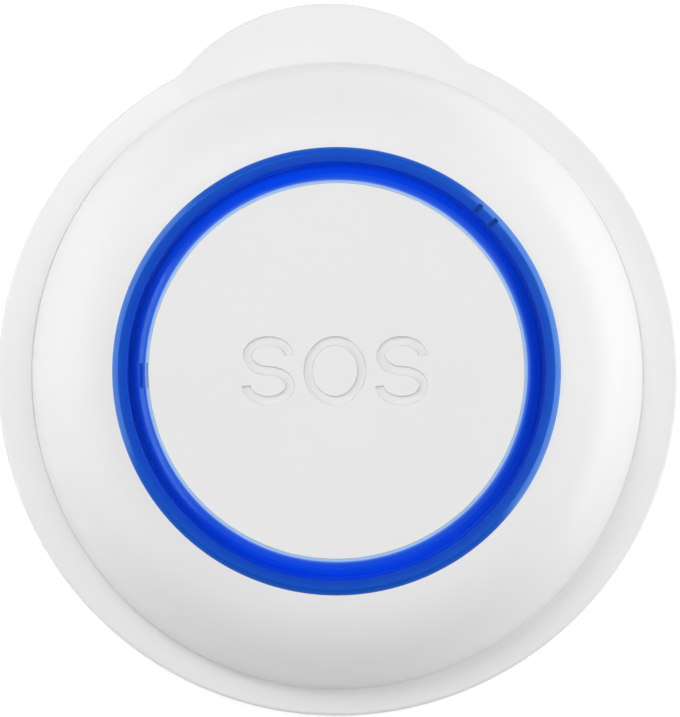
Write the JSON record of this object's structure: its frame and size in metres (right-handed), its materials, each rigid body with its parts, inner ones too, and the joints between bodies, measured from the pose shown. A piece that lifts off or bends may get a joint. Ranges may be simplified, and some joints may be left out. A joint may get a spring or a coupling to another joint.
{
  "type": "emergency call button",
  "caption": "Round white emergency call button with a tabbed flange, domed cover, translucent blue light ring and a large press button over a switch, with a battery door in its back.",
  "frame": {"origin": "the button's axis where it meets the flat back", "axes": "+Z comes out of the button's face, +Y points to the tab, +X is to the right seen from the front"},
  "size_m": [0.065, 0.0682, 0.0141],
  "materials": {
    "white_shell": "satin white moulded plastic",
    "white_button": "satin white moulded plastic",
    "blue_ring": "glossy translucent blue plastic",
    "black_rubber": "soft black silicone rubber",
    "screw_steel": "plated steel",
    "cell_steel": "bright nickel-plated steel",
    "black_plastic": "black moulded plastic",
    "board_green": "green lacquered board",
    "lamp_white": "pale lamp bodies",
    "ceramic_tan": "tan ceramic",
    "contact_brass": "sprung contact metal"
  },
  "bodies": {
    "housing": {"rear_base": "white_shell", "front_dome": "white_shell", "light_ring": "blue_ring", "housing_gasket": "black_rubber", "housing_screws": "screw_steel", "switch_cover": "screw_steel", "switch_snap_dome": "screw_steel", "crystal": "screw_steel", "coin_cell": "cell_steel", "switch_body": "black_plastic", "radio_chip": "black_plastic", "resistors": "black_plastic", "battery_holder": "black_plastic", "circuit_board": "board_green", "status_leds": "lamp_white", "capacitors": "ceramic_tan", "positive_contact": "contact_brass", "negative_contact": "contact_brass", "antenna_strip": "contact_brass"},
    "button": {"button_cap": "white_button"},
    "plunger": {"switch_plunger": "black_plastic"},
    "door": {"battery_door": "white_shell", "door_seal": "black_rubber"}
  },
  "joints": [
    {"name": "button_press", "type": "slide", "parent": "housing", "child": "button", "axis": [0, 0, -1], "range_m": [0, 0.0005], "stiffness_N_per_m": 4000, "springref_m": -0.0002},
    {"name": "plunger_press", "type": "slide", "parent": "housing", "child": "plunger", "axis": [0, 0, -1], "range_m": [0, 0.0005], "deforming": ["switch_snap_dome"]},
    {"name": "battery_door_twist", "type": "hinge", "parent": "housing", "child": "door", "pos_m": [0, 0, 0], "axis": [0, 0, -1], "range_deg": [0, 40]}
  ],
  "couplings": [
    {"joint": "plunger_press", "follows": "button_press", "ratio": 1}
  ]
}
